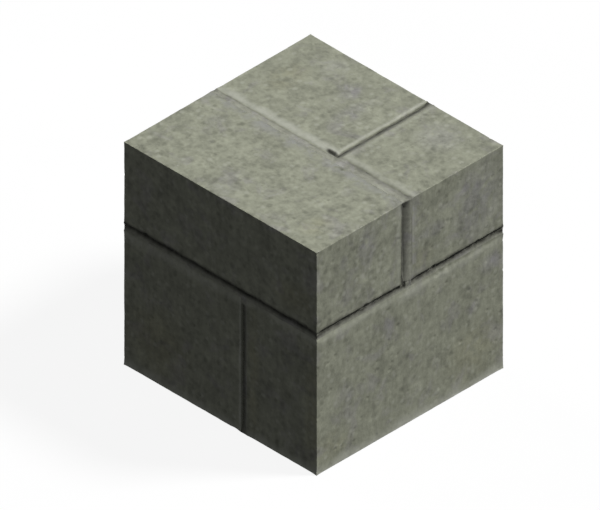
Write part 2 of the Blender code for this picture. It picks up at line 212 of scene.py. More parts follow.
def wornReach(block, number, faces, alongRows):
    # how far one arris is worn back over each of its faces, at every row along it
    low, high = alongRows[0], alongRows[-1]
    uneven = noiseAlong(alongRows, wearShape["grain"], block["seed"] + number / 3, 0)
    ripple = noiseAlong(alongRows, wearShape["rippleGrain"], block["seed"], number)
    scale = 1 + wearShape["uneven"] * uneven + wearShape["ripple"] * ripple
    toEnd = np.minimum(alongRows - low, high - alongRows)
    scale *= np.interp(toEnd, (0, wearShape["corner"]), (wearShape["cornerShare"], 1))
    reach = {face: wear * scale for face, wear in zip(faces, block["worn"][faces])}
    for share, half, overFirst, overSecond in block["lost"].get(faces, ()):
        away = np.abs(alongRows - (low + share * (high - low))) / half
        hollow = np.maximum(0, 1 - away ** wearShape["lostCurve"])
        reach[faces[0]] += overFirst * hollow
        reach[faces[1]] += overSecond * hollow
    return reach


def depthsBelow(points, low, high):
    # how far each point of a block lies below each of its six sides
    depth = {}
    for face in allFaces:
        axis = axisOf(face)
        depth[face] = points[:, axis] - low[axis] if face[0] == "-" else high[axis] - points[:, axis]
    return depth


def wearArrises(block, rows, places, depth):
    # rounds each worn arris; where the neighbour lies inside the wall, its plane is kept
    moved = np.zeros((len(places), 3))

    def shift(face, near, inward):
        axis = axisOf(face)
        offset = inward if face[0] == "-" else -inward
        larger = near & (np.abs(offset) > np.abs(moved[:, axis]))
        moved[larger, axis] = offset[larger]

    for number, faces in enumerate(block["worn"]):
        along = 3 - axisOf(faces[0]) - axisOf(faces[1])
        reach = wornReach(block, number, faces, rows[along])
        for face, other in (faces, faces[::-1]):
            if face not in block["shown"]:
                continue
            over = reach[face][places[:, along]]
            down = reach[other][places[:, along]]
            away = depth[other]
            near = (depth[face] < nearZero) & (away < over)
            share = np.clip(1 - away / over, 0, 1)
            if other in block["shown"]:
                turn = math.pi / 2 * share * over / (over + down)
                shift(face, near, down * (1 - np.cos(turn)))
                shift(other, near, over * (1 - np.sin(turn)) - away)
            else:
                shift(face, near, down * share ** wearShape["innerCurve"])
    return moved


def hollowOut(block, points, depth):
    # hollows broken out of an arris: deepest at the back wall, rising again towards the joint
    sunk = np.zeros(len(points))
    dirtAndShade = np.zeros(len(points))
    for hollow in block.get("hollows", ()):
        face, other = hollow["arris"]
        away, end = depth[other], depth[hollow["end"]]
        along = 3 - axisOf(face) - axisOf(other)
        ragged = noiseAlong(points[:, along], hollow["raggedGrain"], block["seed"], 1.7)
        back = hollow["back"] * (1 + hollow["ragged"] * ragged)
        wall = np.clip((back - away) / hollow["wall"], 0, 1)
        floor = hollow["rise"] + (1 - hollow["rise"]) * np.clip(away / back, 0, 1)
        reach = np.clip((hollow["length"] - end) / hollow["fade"], 0, 1)
        on = depth[face] < nearZero
        sunk = np.maximum(sunk, np.where(on, wall * floor * reach, 0) * hollow["depth"])
        # a dark band in the hollow: dirt together with painted shade of its back wall
        stainAndShade = np.clip(1 - np.abs(away - hollow["stainAndShade"]) / hollow["stainAndShadeReach"], 0, 1)
        past = hollow["length"] + hollow["stainAndShadePast"] - end
        stainAndShade = stainAndShade * (2 - stainAndShade) * np.clip(past / hollow["fade"], 0, 1)
        dirtAndShade = np.maximum(dirtAndShade, np.where(on, stainAndShade, 0) * hollow["dirtAndShade"])
    return sunk, dirtAndShade


def stoneRelief(points, seed, shape):
    # how far each point sinks below the dressed face, and how much of that is a pit
    sunk = np.zeros(len(points))
    pitted = np.zeros(len(points))
    smallest = shape["smallestPit"]
    shift = Vector((seed, seed * 0.7, -seed))
    for i, point in enumerate(points):
        spot = Vector(point)
        sunk[i] = shape["swell"] * (1 + noise.noise(spot / shape["swellSize"] + shift))
        sunk[i] += shape["grain"] * (1 + noise.noise(spot / shape["grainSize"] + shift))
        for pit in shape["pits"]:
            distances, centres = noise.voronoi(spot / pit["spacing"] + shift)
            chance = noise.cell(centres[0] * 7.31)
            if chance < pit["share"]:
                size = smallest + (1 - smallest) * chance / pit["share"]
                away = distances[0] * pit["spacing"] / (pit["radius"] * size)
                hollow = max(0, 1 - away * away)
                sunk[i] += pit["depth"] * hollow
                pitted[i] = max(pitted[i], hollow)
    return sunk, pitted


def bandMask(block, name, rows, places, depth):
    # colour that follows an arris: pale where it is rubbed and as a painted highlight, smeared with
    # mortar, or dark with grime and painted shade
    value = np.zeros(len(places))
    for number, band in enumerate(b for b in block["bands"] if b["mask"] == name):
        face, other = band["arris"]
        along = 3 - axisOf(face) - axisOf(other)
        away = depth[other]
        share = (rows[along] / (rows[along][-1] - rows[along][0]))[places[:, along]]
        share -= share.min()
        start, stop = band["span"]
        fade = bandShape["endFade"]
        ends = np.clip((share - start) / fade, 0, 1) * np.clip((stop - share) / fade, 0, 1)
        wander = noiseAlong(rows[along], bandShape["grain"], block["seed"] + number, 3.3)
        wander = wander[places[:, along]]
        centre = band["centre"] * (1 + bandShape["shift"] * wander)
        side = np.where(away < centre, band["near"], band["far"] * (1 + bandShape["widen"] * wander))
        offset = np.clip(np.abs(away - centre) / side, 0, 1)
        strength = band["amount"] * (1 - offset ** 2) ** 2 * ends
        strength *= 1 + bandShape["strengthen"] * wander
        value = np.where(depth[face] < nearZero, np.maximum(value, strength), value)
    return np.clip(value, 0, 1)


def tintMask(block, name, points, depth):
    # broad colour patches of the stone itself, each with its middle and reach along the face
    value = np.zeros(len(points))
    for tint in block.get("tints", ()):
        if tint["mask"] != name:
            continue
        axis = axisOf(tint["face"])
        u, v = [n for n in range(3) if n != axis]
        across = (points[:, u] - tint["middle"][0]) / tint["reach"][0]
        down = (points[:, v] - tint["middle"][1]) / tint["reach"][1]
        strength = np.clip(tintFirmness * (1 - np.hypot(across, down)), 0, 1) * tint["amount"]
        value = np.where(depth[tint["face"]] < nearZero, np.maximum(value, strength), value)
    return value


def skinObject(name, points, quads, hidden, values):
    mesh = bpy.data.meshes.new(name)
    mesh.from_pydata(points.tolist(), [], quads.tolist() + hidden)
    smooth = np.ones(len(quads) + len(hidden), bool)
    smooth[len(quads):] = False
    mesh.polygons.foreach_set("use_smooth", smooth)
    edges = np.empty(len(mesh.loops), np.int32)
    mesh.loops.foreach_get("edge_index", edges)
    sharp = np.zeros(len(mesh.edges), bool)
    sharp[edges[quads.size:]] = True
    mesh.edges.foreach_set("use_edge_sharp", sharp)
    for label, value in values.items():
        mesh.attributes.new(label, "FLOAT", "POINT").data.foreach_set("value", value.astype(np.float32))
    mesh.update()
    piece = bpy.data.objects.new(name, mesh)
    bpy.context.scene.collection.objects.link(piece)
    return piece


def buildBlock(block):
    low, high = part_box(block["node"])
    rows = [blockRows(low[a], high[a]) for a in range(3)]
    shown = [facePatch(f, low, high) for f in allFaces if f in block["shown"]]
    plain = [facePatch(f, low, high) for f in allFaces if f not in block["shown"]]
    points, places, quads, hidden = latticeSkin(rows, shown, plain)
    depth = depthsBelow(points, low, high)
    values = {name: bandMask(block, name, rows, places, depth) for name in ("pale", "smear", "grimeAndShade")}
    for name in ("lilac", "khaki"):
        values[name] = tintMask(block, name, points, depth)
    inside = np.zeros(points.shape, bool)
    calm = np.ones(len(points))
    for face in allFaces:
        if face not in block["shown"]:
            inside[:, axisOf(face)] |= depth[face] < nearZero
            calm = np.minimum(calm, depth[face] / reliefShape["calm"])
    broken, dirtAndShade = hollowOut(block, points, depth)
    values["grimeAndShade"] = np.maximum(values["grimeAndShade"], dirtAndShade)
    points = points + wearArrises(block, rows, places, depth)
    sunk, pitted = stoneRelief(points, block["seed"], reliefShape)
    values["pit"] = pitted * calm
    sunk = sunk * calm + broken
    normals = skinNormals(points, quads)
    normals[inside] = 0
    points = np.clip(points - normals * sunk[:, None], low, high)
    piece = skinObject(block["name"], points, quads, hidden, values)
    print(block["name"], "skinned:", len(quads), "quads")
    return piece


# Helpers for node trees
def addNode(tree, kind, **settings):
    node = tree.nodes.new(kind)
    for key, value in settings.items():
        setattr(node, key, value)
    count = len(tree.nodes)
    node.location = (230 * (count % 7), -270 * (count // 7))
    return node


def wire(tree, node, values):
    for label, value in values.items():
        if isinstance(value, bpy.types.NodeSocket):
            tree.links.new(value, node.inputs[label])
        else:
            node.inputs[label].default_value = value
    return node


def maths(tree, operation, a, b=0.0, clamp=False):
    node = addNode(tree, "ShaderNodeMath", operation=operation, use_clamp=clamp)
    return wire(tree, node, {0: a, 1: b}).outputs[0]


def mixColour(tree, blend, factor, a, b):
    node = addNode(tree, "ShaderNodeMix", data_type="RGBA", blend_type=blend)
    return wire(tree, node, {0: factor, 6: a, 7: b}).outputs[2]


def remap(tree, value, fromLow, fromHigh, toLow=0.0, toHigh=1.0):
    node = addNode(tree, "ShaderNodeMapRange", interpolation_type="SMOOTHSTEP")
    return wire(tree, node, {0: value, 1: fromLow, 2: fromHigh, 3: toLow, 4: toHigh}).outputs[0]


# Noise behind each pattern: its size, detail, roughness and distortion
patterns = {
    "patch": (0.034, 3.0, 0.6, 0.5),
    "mottle": (0.030, 4.0, 0.85, 0.2),
    "blotch": (0.0088, 1.0, 0.5, 0.3),
    "grain": (0.0042, 2.0, 0.7, 0.0),
    "streak": (0.0065, 2.0, 0.6, 0.0),
    "tintEdge": (0.016, 3.0, 0.65, 0.4),
    "wearAndHighlightEdge": (0.007, 3.0, 0.6, 0.0),
    "smearEdge": (0.011, 4.0, 0.6, 0.4),
    "grimeAndShadeEdge": (0.009, 3.0, 0.6, 0.0),
    "floorCloud": (0.35, 2.0, 0.5, 0.0),
}


def noiseField(tree, vector, pattern):
    size, detail, roughness, distortion = patterns[pattern]
    node = addNode(tree, "ShaderNodeTexNoise")
    wire(tree, node, {"Vector": vector, "Scale": 1 / size, "Detail": detail, "Roughness": roughness,
                      "Distortion": distortion})
    return node.outputs["Fac"]


def evenNoise(tree, vector, pattern):
    # noise that swings evenly to both sides of zero
    return maths(tree, "SUBTRACT", noiseField(tree, vector, pattern), 0.5)


def spotField(tree, vector, spacing, radius, share):
    # round spots at the points of a cell texture, with only a share of the cells filled
    node = addNode(tree, "ShaderNodeTexVoronoi")
    wire(tree, node, {"Vector": vector, "Scale": 1 / spacing})
    spot = remap(tree, node.outputs["Distance"], radius / spacing, radius / spacing * 0.3)
    filled = addNode(tree, "ShaderNodeSeparateColor")
    wire(tree, filled, {0: node.outputs["Color"]})
    chosen = maths(tree, "LESS_THAN", filled.outputs[0], share)
    return maths(tree, "MULTIPLY", spot, chosen)


def stretched(tree, vector, scale):
    node = addNode(tree, "ShaderNodeVectorMath", operation="MULTIPLY")
    return wire(tree, node, {0: vector, 1: scale}).outputs[0]


def newGroup(name, inputs, outputs):
    group = bpy.data.node_groups.new(name, "ShaderNodeTree")
    for side, sockets in (("INPUT", inputs), ("OUTPUT", outputs)):
        for label, kind in sockets.items():
            group.interface.new_socket(label, in_out=side, socket_type="NodeSocket" + kind)
    return group, addNode(group, "NodeGroupInput").outputs, addNode(group, "NodeGroupOutput")


def groupNode(tree, group, values):
    node = addNode(tree, "ShaderNodeGroup", node_tree=group)
    return wire(tree, node, values)


# Spots scattered over the stone, their colours, and the tints of its broad patches
poreSpots = {"spacing": 0.0112, "radius": 0.0050, "share": 0.45}
crumbSpots = {"spacing": 0.0118, "radius": 0.0048, "share": 0.42}
poreColour = (0.10, 0.105, 0.075, 1)
crumbColour = (0.52, 0.53, 0.44, 1)
lilacTint = (0.970, 0.945, 1.090, 1)
khakiTint = (1.025, 1.000, 0.920, 1)


def makeMottling():
    # the stone's own colour: broad patches, mottling at every size down to the grain, and streaks
    group, given, out = newGroup(
        "stoneMottling",
        {"Vector": "Vector", "Stone": "Color", "Patch": "Color", "Patch Amount": "Float",
         "Mottle": "Float", "Blotch": "Float", "Grain": "Float", "Streak": "Float"},
        {"Color": "Color", "Height": "Float"},
    )
    vector = given["Vector"]
    patches = remap(group, noiseField(group, vector, "patch"), 0.52, 0.68)
    patches = maths(group, "MULTIPLY", patches, given["Patch Amount"])
    colour = mixColour(group, "MIX", patches, given["Stone"], given["Patch"])
    fields = {
        "Mottle": evenNoise(group, vector, "mottle"),
        "Blotch": evenNoise(group, vector, "blotch"),
        "Grain": evenNoise(group, vector, "grain"),
        "Streak": evenNoise(group, stretched(group, vector, (1, 1, 0.22)), "streak"),
    }
    tone = 1.0
    for label, field in fields.items():
        tone = maths(group, "ADD", tone, maths(group, "MULTIPLY", field, given[label]))
    shade = addNode(group, "ShaderNodeCombineColor")
    wire(group, shade, {0: tone, 1: tone, 2: tone})
    wire(group, out, {"Color": mixColour(group, "MULTIPLY", 1.0, colour, shade.outputs[0]),
                      "Height": maths(group, "ADD", fields["Mottle"], fields["Grain"])})
    return group


def makeTints():
    # broad lilac and khaki patches, broken up at their edges
    group, given, out = newGroup(
        "stoneTints",
        {"Vector": "Vector", "Color": "Color", "Lilac": "Float", "Khaki": "Float"},
        {"Color": "Color"},
    )
    broken = remap(group, noiseField(group, given["Vector"], "tintEdge"), 0.30, 0.56)
    lilac = maths(group, "MULTIPLY", given["Lilac"], broken, clamp=True)
    khaki = maths(group, "MULTIPLY", given["Khaki"], broken, clamp=True)
    colour = mixColour(group, "MULTIPLY", lilac, given["Color"], lilacTint)
    colour = mixColour(group, "MULTIPLY", khaki, colour, khakiTint)
    wire(group, out, {"Color": colour})
    return group


def makePores():
    # dark pores and pale crumbs scattered over the face, and the shade inside the modelled pits
    group, given, out = newGroup(
        "stonePores",
        {"Vector": "Vector", "Color": "Color", "Pit": "Float", "Pores": "Float", "Crumbs": "Float",
         "Pit Shade": "Float"},
        {"Color": "Color", "Depth": "Float"},
    )
    vector = given["Vector"]
    pores = spotField(group, vector, **poreSpots)
    crumbs = spotField(group, stretched(group, vector, (1.1, 1.07, 1.13)), **crumbSpots)
    dark = maths(group, "MULTIPLY", pores, given["Pores"])
    dark = maths(group, "MAXIMUM", dark, maths(group, "MULTIPLY", given["Pit"], given["Pit Shade"]))
    light = maths(group, "MULTIPLY", crumbs, given["Crumbs"])
    colour = mixColour(group, "MIX", dark, given["Color"], poreColour)
    colour = mixColour(group, "MIX", light, colour, crumbColour)
    wire(group, out, {"Color": colour, "Depth": maths(group, "SUBTRACT", light, dark)})
    return group


def makeArrisWearAndHighlight():
    # rubbed arrises show paler stone, which also serves as a painted highlight along them, broken up by
    # the grain
    group, given, out = newGroup(
        "arrisWearAndHighlight",
        {"Vector": "Vector", "Color": "Color", "WornAndHighlight": "Float", "Pale": "Color", "Breakup": "Float"},
        {"Color": "Color"},
    )
    broken = maths(group, "MULTIPLY", evenNoise(group, given["Vector"], "wearAndHighlightEdge"), given["Breakup"])
    broken = maths(group, "ADD", maths(group, "MULTIPLY", broken, 4.0), 1.0)
    mask = maths(group, "MULTIPLY", given["WornAndHighlight"], broken, clamp=True)
    wire(group, out, {"Color": mixColour(group, "MIX", mask, given["Color"], given["Pale"])})
    return group


def makeSmear():
    # a thin skin of mortar dragged over the stone beside a flush joint
    group, given, out = newGroup(
        "mortarSmear",
        {"Vector": "Vector", "Color": "Color", "Smear": "Float", "Mortar": "Color"},
        {"Color": "Color"},
    )
    edge = remap(group, noiseField(group, given["Vector"], "smearEdge"), 0.36, 0.60)
    mask = maths(group, "MULTIPLY", given["Smear"], edge, clamp=True)
    wire(group, out, {"Color": mixColour(group, "MIX", mask, given["Color"], given["Mortar"])})
    return group


def makeGrimeAndShade():
    # dirt that has settled in the joints and under the lips, together with painted shade where they
    # fall into shadow
    group, given, out = newGroup(
        "jointGrimeAndShade",
        {"Vector": "Vector", "Color": "Color", "GrimeAndShade": "Float", "DirtAndShade": "Color"},
        {"Color": "Color"},
    )
    spread = remap(group, noiseField(group, given["Vector"], "grimeAndShadeEdge"), 0.25, 0.75, 0.75, 1.15)
    mask = maths(group, "MULTIPLY", given["GrimeAndShade"], spread, clamp=True)
    wire(group, out, {"Color": mixColour(group, "MIX", mask, given["Color"], given["DirtAndShade"])})
    return group


stoneMottling = makeMottling()
stoneTints = makeTints()
stonePores = makePores()
arrisWearAndHighlight = makeArrisWearAndHighlight()
mortarSmear = makeSmear()
jointGrimeAndShade = makeGrimeAndShade()
print("node groups made")


def finishMaterial(name, look):
    # one stone or mortar finish from its look values; the masks come from the skin
    material = bpy.data.materials.new(name)
    material.use_nodes = True
    tree = material.node_tree
    shader = tree.nodes["Principled BSDF"]
    spot = addNode(tree, "ShaderNodeTexCoord").outputs["Object"]
    shift = addNode(tree, "ShaderNodeVectorMath", operation="ADD")
    spot = wire(tree, shift, {0: spot, 1: look["shift"]}).outputs[0]
    mask = {}
    for label in masks:
        mask[label] = addNode(tree, "ShaderNodeAttribute", attribute_name=label).outputs["Fac"]
    base = groupNode(tree, stoneMottling, {
        "Vector": spot, "Stone": (*look["stone"], 1), "Patch": (*look["patch"], 1),
        "Patch Amount": look["patchAmount"], "Mottle": look["mottle"], "Blotch": look["blotch"],
        "Grain": look["grain"], "Streak": look["streak"],
    })
    tints = groupNode(tree, stoneTints, {
        "Vector": spot, "Color": base.outputs["Color"], "Lilac": mask["lilac"], "Khaki": mask["khaki"],
    })
    pores = groupNode(tree, stonePores, {
        "Vector": spot, "Color": tints.outputs["Color"], "Pit": mask["pit"], "Pores": look["pores"],
        "Crumbs": look["crumbs"], "Pit Shade": look["pitShade"],
    })
    worn = groupNode(tree, arrisWearAndHighlight, {
        "Vector": spot, "Color": pores.outputs["Color"], "WornAndHighlight": mask["pale"],
        "Pale": (*look["pale"], 1), "Breakup": look["breakup"],
    })
    smear = groupNode(tree, mortarSmear, {
        "Vector": spot, "Color": worn.outputs["Color"], "Smear": mask["smear"],
        "Mortar": (*look["smear"], 1),
    })
    grimeAndShade = groupNode(tree, jointGrimeAndShade, {
        "Vector": spot, "Color": smear.outputs["Color"], "GrimeAndShade": mask["grimeAndShade"],
        "DirtAndShade": (*look["dirtAndShade"], 1),
    })
    middle, spread = look["roughness"], look["roughSpread"]
    rough = remap(tree, base.outputs["Height"], -0.3, 0.3, middle - spread, middle + spread)
    height = maths(tree, "ADD", base.outputs["Height"], pores.outputs["Depth"])
    bump = addNode(tree, "ShaderNodeBump")
    wire(tree, bump, {"Strength": look["bump"], "Distance": look["bumpDistance"], "Height": height})
    wire(tree, shader, {"Base Color": grimeAndShade.outputs["Color"], "Roughness": rough,
                        "Normal": bump.outputs[0]})
    return material


def arrisBand(mask, face, other, amount, far, centre=0.0, near=0.001, span=(-1, 2)):
    # colour on a face along its arris with another: the place of its middle, and its reach each way
    return {"mask": mask, "arris": (face, other), "amount": amount, "centre": centre, "near": near,
            "far": far, "span": span}


def faceTint(mask, face, middle, reach, amount):
    # a broad patch of colour on a face
    return {"mask": mask, "face": face, "middle": middle, "reach": reach, "amount": amount}


# The finish that all five blocks share; each block changes some of it
stoneLook = {
    "stone": (0.318, 0.328, 0.250),
    "patch": (0.318, 0.312, 0.290),
    "patchAmount": 0.55,
    "mottle": 1.1,
    "blotch": 0.50,
    "grain": 0.20,
    "streak": 0.44,
    "pores": 0.30,
    "crumbs": 0.36,
    "pitShade": 0.25,
    # paler stone of rubbed arrises, also a painted highlight along them
    "pale": (0.50, 0.51, 0.43),
    "breakup": 0.45,
    "smear": (0.345, 0.340, 0.325),
    # dark colour of joint dirt and of painted shade in the joints and under the lips
    "dirtAndShade": (0.045, 0.045, 0.035),
    "roughness": 0.88,
    "roughSpread": 0.06,
    "bump": 0.4,
    "bumpDistance": 0.0005,
    "shift": (0.0, 0.0, 0.0),
}

# In each block's bands, pale strips are rubbed stone and a painted highlight, and grime strips are dirt
# and painted shade in the joints and under the lips
frontStretcher = {
    "name": "frontStretcher",
    "node": "front_stretcher",
    "seed": 11.5,
    "shown": ("-y", "+z", "-x", "+x"),
    "worn": {
        ("+z", "-y"): eased, ("+z", "-x"): eased, ("+z", "+x"): eased, ("+z", "+y"): flushed,
        ("-y", "-x"): eased, ("-y", "+x"): eased, ("-x", "+y"): eased,
        ("+x", "+y"): collarArris, ("-y", "-z"): bedLip, ("+x", "-z"): bedLip,
        ("-x", "-z"): bedLip,
    },
    "lost": {
        ("-y", "-z"): [(0.114, 0.0045, 0.0030, 0.0030), (0.71, 0.0035, 0.0016, 0.0020)],
        ("+x", "-z"): [(0.565, 0.0042, 0.0014, 0.0017)],
        ("+z", "-y"): [(0.83, 0.0050, 0.0014, 0.0012)],
    },
    "bands": [
        arrisBand("smear", "+z", "+y", 0.75, centre=0.001, near=0.004, far=0.017),
        arrisBand("pale", "+x", "+y", 0.30, centre=0.0065, near=0.003, far=0.005),
        arrisBand("grimeAndShade", "+x", "+y", 1.00, far=0.0056),
        arrisBand("grimeAndShade", "-y", "-z", 0.98, far=0.0054),
        arrisBand("grimeAndShade", "+x", "-z", 0.80, far=0.0060),
        arrisBand("grimeAndShade", "-x", "-z", 0.65, far=0.0050),
    ],
    "tints": [
        faceTint("lilac", "+x", (-0.104, 0.269), (0.009, 0.013), 0.8),
        faceTint("lilac", "+x", (-0.066, 0.278), (0.018, 0.032), 0.9),
        faceTint("lilac", "+z", (-0.050, -0.012), (0.085, 0.014), 0.25),
        faceTint("lilac", "+z", (-0.105, -0.045), (0.022, 0.016), 0.5),
        faceTint("lilac", "+z", (-0.010, -0.130), (0.026, 0.020), 0.6),
        faceTint("khaki", "+z", (0.115, -0.110), (0.020, 0.026), 0.7),
        faceTint("khaki", "-y", (0.118, 0.225), (0.044, 0.026), 0.9),
    ],
    "look": {"shift": (0.31, 0.12, 0.07), "blotch": 0.60, "smear": (0.345, 0.350, 0.322)},
}

backLeftBlock = {
    "name": "backLeftBlock",
    "node": "back_left_block",
    "seed": 23.5,
    "shown": ("+z", "-x", "+y"),
    "worn": {
        ("+z", "-y"): smearWorn, ("+z", "+x"): topWorn, ("+z", "-x"): eased,
        ("+z", "+y"): eased, ("-x", "+y"): eased, ("+y", "+x"): flushed,
        ("-x", "-y"): uprightWorn, ("-x", "-z"): bedLip, ("+y", "-z"): bedLip,
    },
    "lost": {
        ("-x", "-z"): [(0.34, 0.0050, 0.0026, 0.0024)],
        ("+y", "-z"): [(0.62, 0.0045, 0.0022, 0.0024)],
    },
    # the hollow carries a dark band of dirt and painted shade
    "hollows": [
        {"arris": ("+z", "-y"), "end": "+x", "length": 0.0155, "fade": 0.0048, "back": 0.0062,
         "ragged": 0.10, "raggedGrain": 0.004, "depth": 0.0034, "wall": 0.0022, "rise": 0.25,
         "stainAndShade": 0.0050, "stainAndShadeReach": 0.0038, "stainAndShadePast": 0.001, "dirtAndShade": 1.0},
    ],
    "bands": [
        arrisBand("pale", "+z", "-y", 0.85, centre=0.0046, near=0.0045, far=0.011),
        arrisBand("pale", "+z", "+x", 0.70, centre=0.0018, near=0.002, far=0.004),
        arrisBand("grimeAndShade", "+z", "-y", 0.12, far=0.0030),
        *[arrisBand("grimeAndShade", face, "-z", 0.65, far=0.0050) for face in ("-x", "+y")],
    ],
    "tints": [
        faceTint("lilac", "+z", (-0.086, 0.120), (0.018, 0.022), 0.6),
        faceTint("lilac", "+z", (-0.044, 0.100), (0.020, 0.022), 0.8),
        faceTint("lilac", "+z", (-0.012, 0.070), (0.015, 0.042), 0.8),
        faceTint("khaki", "+z", (-0.112, 0.070), (0.022, 0.038), 0.7),
    ],
    "look": {"shift": (0.83, 0.55, 0.21)},
}

backRightBlock = {
    "name": "backRightBlock",
    "node": "back_right_block",
    "seed": 37.5,
    "shown": ("+z", "+x", "+y"),
    "worn": {
        ("+z", "-y"): collarWorn, ("+z", "-x"): flushed, ("+z", "+x"): eased,
        ("+z", "+y"): eased, ("+x", "+y"): eased, ("+x", "-y"): flushed,
        ("+y", "-x"): uprightWorn, ("+x", "-z"): bedLip, ("+y", "-z"): bedLip,
    },
    "lost": {
        ("+x", "-z"): [(0.235, 0.0046, 0.0014, 0.0016), (0.71, 0.0040, 0.0010, 0.0012)],
    },
    "bands": [
        arrisBand("pale", "+z", "-y", 0.55, centre=0.0045, near=0.004, far=0.009),
        arrisBand("pale", "+z", "-x", 0.25, centre=0.0030, near=0.003, far=0.005),
        arrisBand("smear", "+x", "-y", 0.90, far=0.012),
        arrisBand("grimeAndShade", "+z", "-y", 0.18, far=0.0030),
        arrisBand("grimeAndShade", "+x", "-z", 0.85, far=0.0062),
        arrisBand("grimeAndShade", "+y", "-z", 0.65, far=0.0050),
    ],
    "tints": [
        faceTint("lilac", "+x", (0.107, 0.250), (0.048, 0.062), 1.0),
        faceTint("lilac", "+x", (0.036, 0.244), (0.030, 0.012), 0.9),
        faceTint("lilac", "+z", (0.090, 0.110), (0.036, 0.036), 0.7),
        faceTint("khaki", "+x", (0.020, 0.215), (0.024, 0.018), 0.6),
    ],
    "look": {"shift": (0.47, 0.91, 0.36)},
}

lowerLeftBlock = {
    "name": "lowerLeftBlock",
    "node": "lower_left_block",
    "seed": 41.5,
    "shown": ("-y", "-x", "+y"),
    "worn": {
        ("+z", "-y"): shoulder, ("+z", "-x"): shoulder, ("+z", "+y"): shoulder,
        ("-y", "-x"): eased, ("-x", "+y"): eased, ("-y", "+x"): jointWorn,
        ("+y", "+x"): flushed, ("-y", "-z"): eased, ("-x", "-z"): eased, ("+y", "-z"): eased,
    },
    "lost": {
        ("+z", "-y"): [(0.37, 0.0135, 0.0010, 0.0022)],
        ("-y", "-z"): [(0.955, 0.0085, 0.0009, 0.0009)],
        ("-x", "-z"): [(0.28, 0.0060, 0.0018, 0.0022)],
    },
    "bands": [
        *[arrisBand("pale", face, "+z", 0.50, centre=0.0040, near=0.005, far=0.012)
          for face in ("-y", "-x", "+y")],
        arrisBand("pale", "-y", "+x", 0.75, centre=0.0004, near=0.002, far=0.004),
        *[arrisBand("pale", face, "-z", 0.75, far=0.0150) for face in ("-y", "-x", "+y")],
        arrisBand("grimeAndShade", "-y", "-z", 0.70, far=0.0034, span=(0.88, 1.2)),
    ],
    "tints": [
        faceTint("khaki", "-y", (-0.100, 0.060), (0.062, 0.062), 0.9),
    ],
    "look": {"shift": (0.15, 0.33, 0.68)},
}

lowerRightStretcher = {
    "name": "lowerRightStretcher",
    "node": "lower_right_stretcher",
    "seed": 59.5,
    "shown": ("-y", "+x", "+y"),
    "worn": {
        ("+z", "+x"): shoulder, ("+z", "-y"): shoulder, ("+z", "+y"): shoulder,
        ("-y", "+x"): eased, ("+x", "+y"): eased, ("-y", "-x"): flushed,
        ("+y", "-x"): uprightWorn, ("-y", "-z"): eased, ("+x", "-z"): eased,
        ("+y", "-z"): eased,
    },
    "lost": {
        ("+z", "+x"): [(0.658, 0.0045, 0.0012, 0.0026), (0.705, 0.0060, 0.0010, 0.0020)],
    },
    "bands": [
        arrisBand("pale", "+x", "+z", 0.30, centre=0.0030, near=0.004, far=0.011, span=(0.0, 0.44)),
        arrisBand("pale", "+x", "+z", 0.35, centre=0.0070, near=0.006, far=0.012, span=(0.40, 1.0)),
        arrisBand("grimeAndShade", "+x", "+z", 0.30, far=0.0050, span=(0.50, 1.2)),
        arrisBand("pale", "-y", "+z", 0.50, centre=0.0015, near=0.003, far=0.008),
        arrisBand("pale", "+y", "+z", 0.50, centre=0.0040, near=0.005, far=0.012),
        *[arrisBand("pale", face, "-z", 0.75, far=0.0150) for face in ("-y", "+x", "+y")],
    ],
    "tints": [
        faceTint("khaki", "-y", (0.052, 0.090), (0.012, 0.120), 1.0),
        faceTint("khaki", "-y", (0.146, 0.090), (0.018, 0.110), 0.9),
        faceTint("lilac", "+x", (-0.034, 0.145), (0.011, 0.018), 0.8),
        faceTint("lilac", "+x", (-0.096, 0.090), (0.010, 0.014), 0.7),
        faceTint("lilac", "+x", (0.126, 0.155), (0.018, 0.018), 0.9),
        faceTint("lilac", "+x", (0.100, 0.108), (0.014, 0.012), 0.7),
        faceTint("khaki", "+x", (0.100, 0.045), (0.055, 0.050), 0.7),
        faceTint("khaki", "+x", (-0.120, 0.030), (0.040, 0.024), 0.6),
    ],
    "look": {"shift": (0.62, 0.28, 0.94)},
}

blocks = (frontStretcher, backLeftBlock, backRightBlock, lowerLeftBlock, lowerRightStretcher)
for block in blocks:
    piece = buildBlock(block)
    piece.data.materials.append(finishMaterial(block["name"] + "Stone", {**stoneLook, **block["look"]}))
    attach(piece, "root")
    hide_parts(block["node"])


# The mortar follows the blocks around it
blockBoxes = [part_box(block["node"]) for block in blocks]
stretcherLow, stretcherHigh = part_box("front_stretcher")
backLeftLow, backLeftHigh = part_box("back_left_block")
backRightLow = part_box("back_right_block")[0]
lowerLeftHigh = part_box("lower_left_block")[1]
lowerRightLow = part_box("lower_right_stretcher")[0]
bedTop, bedBottom = stretcherLow.z, lowerLeftHigh.z
bedWidth = bedTop - bedBottom

# Length over which a bed strike lifts out at an upright joint, and how far it runs past the arris
strikeFade = 0.0030
crossingOpen = 0.0032


def filledBetween(start, stop):
    # a bed strike that lifts out where an upright joint crosses it
    half = strikeFade / 2
    return [(start - half, 1), (start + half, 0), (stop - half, 0), (stop + half, 1)]


# Dirt and painted shade on a bed strike that faces the sun, and on a strike in the shade
sunDirtAndShade = ((0.0030, 0.50), (0.0037, 0.70), (0.0044, 0.92), (0.0052, 0.92), (0.0098, 0.15))
shadeDirtAndShade = ((0.0036, 0.93), (0.0075, 0.10))

bed = {"struck": bedTop, "toward": -1, "slope": bedWidth - 0.0006}
upright = {"along": 2, "slope": 0.0088, "rest": 0.0, "dirtAndShade": shadeDirtAndShade}
upper = {**upright, "stops": [(bedTop - 0.0020, 0), (bedTop, 1)]}
lower = {**upright, "stops": [(bedBottom - 0.0100, 1), (bedBottom - 0.0070, 0)]}
